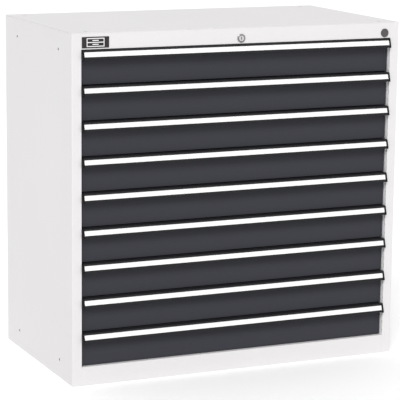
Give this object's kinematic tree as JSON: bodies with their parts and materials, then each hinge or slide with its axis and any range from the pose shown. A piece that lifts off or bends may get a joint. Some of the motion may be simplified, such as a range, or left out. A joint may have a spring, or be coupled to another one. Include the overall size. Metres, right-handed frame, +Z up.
{
  "type": "drawer cabinet",
  "caption": "Low steel workshop cabinet with equal drawers, full-width label grips, telescopic slides and a central lock.",
  "frame": {"origin": "on the floor, under the middle of the whole box, drawer handles included", "axes": "+X to the right seen from the front, +Y from the drawer fronts to the back, +Z up"},
  "size_m": [1.023, 0.583, 1],
  "materials": {
    "body_paint": "fine textured light grey powder coat",
    "front_paint": "satin anthracite powder coat",
    "tray_steel": "satin grey coated sheet steel",
    "slide_steel": "bright zinc plate",
    "handle_metal": "satin dark anodised extrusion",
    "cap_plastic": "fine grained moulding",
    "lock_metal": "satin nickel plate",
    "badge_plastic": "satin, blank",
    "plug_plastic": "fine grained moulding",
    "label_paper": "white label strip behind a clear cover"
  },
  "bodies": {
    "cabinet": {"side_panel_left": "body_paint", "side_panel_right": "body_paint", "top_panel": "body_paint", "base_panel": "body_paint", "back_panel": "body_paint", "front_top_rail": "body_paint", "runner_uprights": "body_paint", "cabinet_rails": "slide_steel", "lock_housing": "lock_metal", "locking_bar_guides": "slide_steel", "blanking_plug": "plug_plastic", "badge_plate": "badge_plastic"},
    "lock": {"lock_barrel": "lock_metal", "lock_shaft": "slide_steel"},
    "locking_bar": {"locking_bar": "slide_steel"},
    "drawer_1": {"drawer_1_tray": "tray_steel", "drawer_1_front": "front_paint", "drawer_1_handle": "handle_metal", "drawer_1_end_caps": "cap_plastic"},
    "slide_1": {"drawer_1_mid_slides": "slide_steel"},
    "drawer_2": {"drawer_2_tray": "tray_steel", "drawer_2_front": "front_paint", "drawer_2_handle": "handle_metal", "drawer_2_end_caps": "cap_plastic"},
    "slide_2": {"drawer_2_mid_slides": "slide_steel"},
    "drawer_3": {"drawer_3_tray": "tray_steel", "drawer_3_front": "front_paint", "drawer_3_handle": "handle_metal", "drawer_3_end_caps": "cap_plastic"},
    "slide_3": {"drawer_3_mid_slides": "slide_steel"},
    "drawer_4": {"drawer_4_tray": "tray_steel", "drawer_4_front": "front_paint", "drawer_4_handle": "handle_metal", "drawer_4_end_caps": "cap_plastic"},
    "slide_4": {"drawer_4_mid_slides": "slide_steel"},
    "drawer_5": {"drawer_5_tray": "tray_steel", "drawer_5_front": "front_paint", "drawer_5_handle": "handle_metal", "drawer_5_end_caps": "cap_plastic"},
    "slide_5": {"drawer_5_mid_slides": "slide_steel"},
    "drawer_6": {"drawer_6_tray": "tray_steel", "drawer_6_front": "front_paint", "drawer_6_handle": "handle_metal", "drawer_6_end_caps": "cap_plastic"},
    "slide_6": {"drawer_6_mid_slides": "slide_steel"},
    "drawer_7": {"drawer_7_tray": "tray_steel", "drawer_7_front": "front_paint", "drawer_7_handle": "handle_metal", "drawer_7_end_caps": "cap_plastic"},
    "slide_7": {"drawer_7_mid_slides": "slide_steel"},
    "drawer_8": {"drawer_8_tray": "tray_steel", "drawer_8_front": "front_paint", "drawer_8_handle": "handle_metal", "drawer_8_end_caps": "cap_plastic"},
    "slide_8": {"drawer_8_mid_slides": "slide_steel"},
    "drawer_9": {"drawer_9_tray": "tray_steel", "drawer_9_front": "front_paint", "drawer_9_handle": "handle_metal", "drawer_9_end_caps": "cap_plastic"},
    "slide_9": {"drawer_9_mid_slides": "slide_steel"}
  },
  "joints": [
    {"name": "lock_turn", "type": "hinge", "parent": "cabinet", "child": "lock", "pos_m": [0, -0.2805, 0.969], "axis": [0, 1, 0], "range_deg": [0, 90]},
    {"name": "locking_bar_lift", "type": "slide", "parent": "cabinet", "child": "locking_bar", "axis": [0, 0, 1], "range_m": [0, 0.012]},
    {"name": "drawer_1_pull", "type": "slide", "parent": "cabinet", "child": "drawer_1", "axis": [0, -1, 0], "range_m": [0, 0.45]},
    {"name": "slide_1_run", "type": "slide", "parent": "cabinet", "child": "slide_1", "axis": [0, -1, 0], "range_m": [0, 0.225]},
    {"name": "drawer_2_pull", "type": "slide", "parent": "cabinet", "child": "drawer_2", "axis": [0, -1, 0], "range_m": [0, 0.45]},
    {"name": "slide_2_run", "type": "slide", "parent": "cabinet", "child": "slide_2", "axis": [0, -1, 0], "range_m": [0, 0.225]},
    {"name": "drawer_3_pull", "type": "slide", "parent": "cabinet", "child": "drawer_3", "axis": [0, -1, 0], "range_m": [0, 0.45]},
    {"name": "slide_3_run", "type": "slide", "parent": "cabinet", "child": "slide_3", "axis": [0, -1, 0], "range_m": [0, 0.225]},
    {"name": "drawer_4_pull", "type": "slide", "parent": "cabinet", "child": "drawer_4", "axis": [0, -1, 0], "range_m": [0, 0.45]},
    {"name": "slide_4_run", "type": "slide", "parent": "cabinet", "child": "slide_4", "axis": [0, -1, 0], "range_m": [0, 0.225]},
    {"name": "drawer_5_pull", "type": "slide", "parent": "cabinet", "child": "drawer_5", "axis": [0, -1, 0], "range_m": [0, 0.45]},
    {"name": "slide_5_run", "type": "slide", "parent": "cabinet", "child": "slide_5", "axis": [0, -1, 0], "range_m": [0, 0.225]},
    {"name": "drawer_6_pull", "type": "slide", "parent": "cabinet", "child": "drawer_6", "axis": [0, -1, 0], "range_m": [0, 0.45]},
    {"name": "slide_6_run", "type": "slide", "parent": "cabinet", "child": "slide_6", "axis": [0, -1, 0], "range_m": [0, 0.225]},
    {"name": "drawer_7_pull", "type": "slide", "parent": "cabinet", "child": "drawer_7", "axis": [0, -1, 0], "range_m": [0, 0.45]},
    {"name": "slide_7_run", "type": "slide", "parent": "cabinet", "child": "slide_7", "axis": [0, -1, 0], "range_m": [0, 0.225]},
    {"name": "drawer_8_pull", "type": "slide", "parent": "cabinet", "child": "drawer_8", "axis": [0, -1, 0], "range_m": [0, 0.45]},
    {"name": "slide_8_run", "type": "slide", "parent": "cabinet", "child": "slide_8", "axis": [0, -1, 0], "range_m": [0, 0.225]},
    {"name": "drawer_9_pull", "type": "slide", "parent": "cabinet", "child": "drawer_9", "axis": [0, -1, 0], "range_m": [0, 0.45]},
    {"name": "slide_9_run", "type": "slide", "parent": "cabinet", "child": "slide_9", "axis": [0, -1, 0], "range_m": [0, 0.225]}
  ],
  "couplings": [
    {"joint": "lock_turn", "follows": "locking_bar_lift", "rad_per_m": 130.9},
    {"joint": "slide_1_run", "follows": "drawer_1_pull", "ratio": 0.5},
    {"joint": "slide_2_run", "follows": "drawer_2_pull", "ratio": 0.5},
    {"joint": "slide_3_run", "follows": "drawer_3_pull", "ratio": 0.5},
    {"joint": "slide_4_run", "follows": "drawer_4_pull", "ratio": 0.5},
    {"joint": "slide_5_run", "follows": "drawer_5_pull", "ratio": 0.5},
    {"joint": "slide_6_run", "follows": "drawer_6_pull", "ratio": 0.5},
    {"joint": "slide_7_run", "follows": "drawer_7_pull", "ratio": 0.5},
    {"joint": "slide_8_run", "follows": "drawer_8_pull", "ratio": 0.5},
    {"joint": "slide_9_run", "follows": "drawer_9_pull", "ratio": 0.5}
  ]
}
